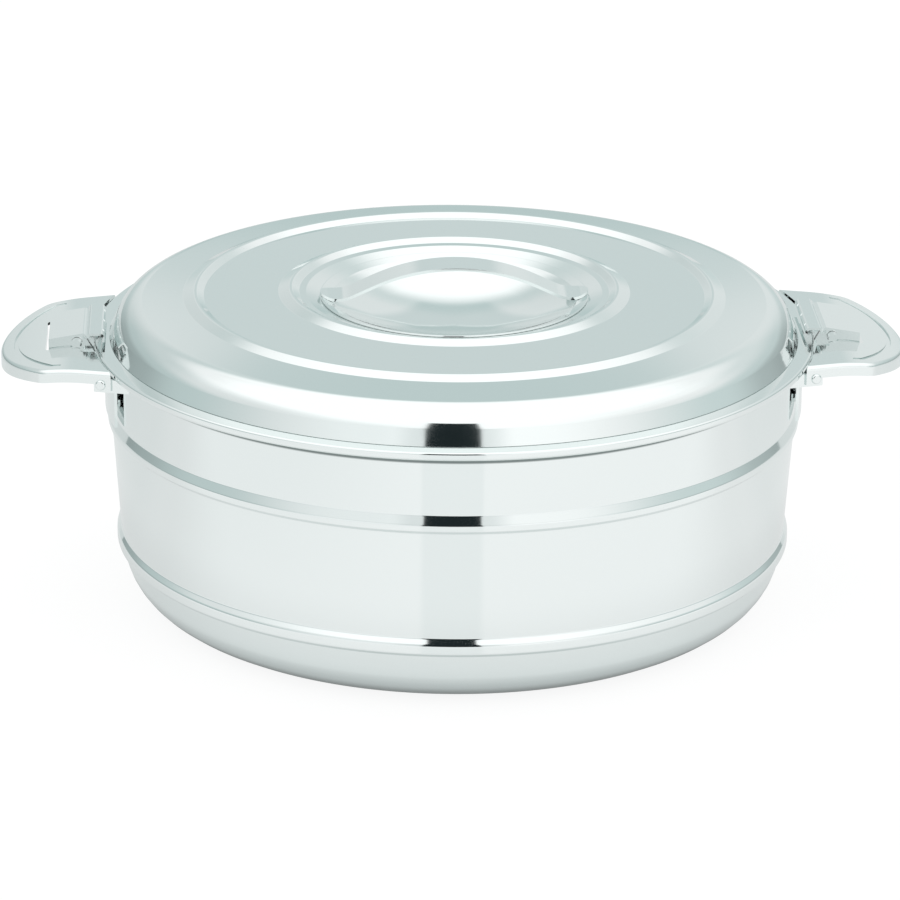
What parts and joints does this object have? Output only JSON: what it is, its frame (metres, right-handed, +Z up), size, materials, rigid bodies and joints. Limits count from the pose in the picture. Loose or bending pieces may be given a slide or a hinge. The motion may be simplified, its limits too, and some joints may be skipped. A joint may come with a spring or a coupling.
{
  "type": "insulated casserole",
  "caption": "Round insulated serving casserole with a double-walled steel bowl, flat lift-off lid, recessed strap grip and wing handles that carry sprung lid latches.",
  "frame": {"origin": "middle of the foot, on the surface that the casserole stands on", "axes": "+Z up, +X towards the right handle, the viewer's side of the picture is -Y"},
  "size_m": [0.3644, 0.29, 0.1389],
  "materials": {
    "stainless_outer": "mirror-polished stainless steel",
    "stainless_inner": "stainless steel as rolled, lightly polished",
    "foam": "rigid polyurethane foam",
    "seal": "matt silicone",
    "spring_steel": "drawn spring wire"
  },
  "bodies": {
    "pot": {"outer_shell": "stainless_outer", "inner_bowl": "stainless_inner", "body_insulation": "foam", "handle_plate_right": "stainless_outer", "handle_bracket_right": "stainless_inner", "handle_rivets_right": "stainless_inner", "latch_pin_right": "stainless_inner", "latch_spring_right": "spring_steel", "handle_plate_left": "stainless_outer", "handle_bracket_left": "stainless_inner", "handle_rivets_left": "stainless_inner", "latch_pin_left": "stainless_inner", "latch_spring_left": "spring_steel"},
    "lid": {"lid_outer_shell": "stainless_outer", "lid_inner_shell": "stainless_inner", "lid_insulation": "foam", "lid_gasket": "seal", "grip_cup": "stainless_outer", "grip_strap": "stainless_outer"},
    "latch_right": {"latch_lever_right": "stainless_outer"},
    "latch_left": {"latch_lever_left": "stainless_outer"}
  },
  "joints": [
    {"name": "lid_lift", "type": "slide", "parent": "pot", "child": "lid", "axis": [0, 0, 1], "range_m": [0, 0.1]},
    {"name": "latch_right_hinge", "type": "hinge", "parent": "pot", "child": "latch_right", "pos_m": [0.1513, 0, 0.112], "axis": [0, 1, 0], "range_deg": [0, 25], "stiffness_Nm_per_rad": 0.08, "springref_deg": -22.92, "deforming": ["latch_spring_right"]},
    {"name": "latch_left_hinge", "type": "hinge", "parent": "pot", "child": "latch_left", "pos_m": [-0.1513, 0, 0.112], "axis": [0, -1, 0], "range_deg": [0, 25], "stiffness_Nm_per_rad": 0.08, "springref_deg": -22.92, "deforming": ["latch_spring_left"]}
  ]
}
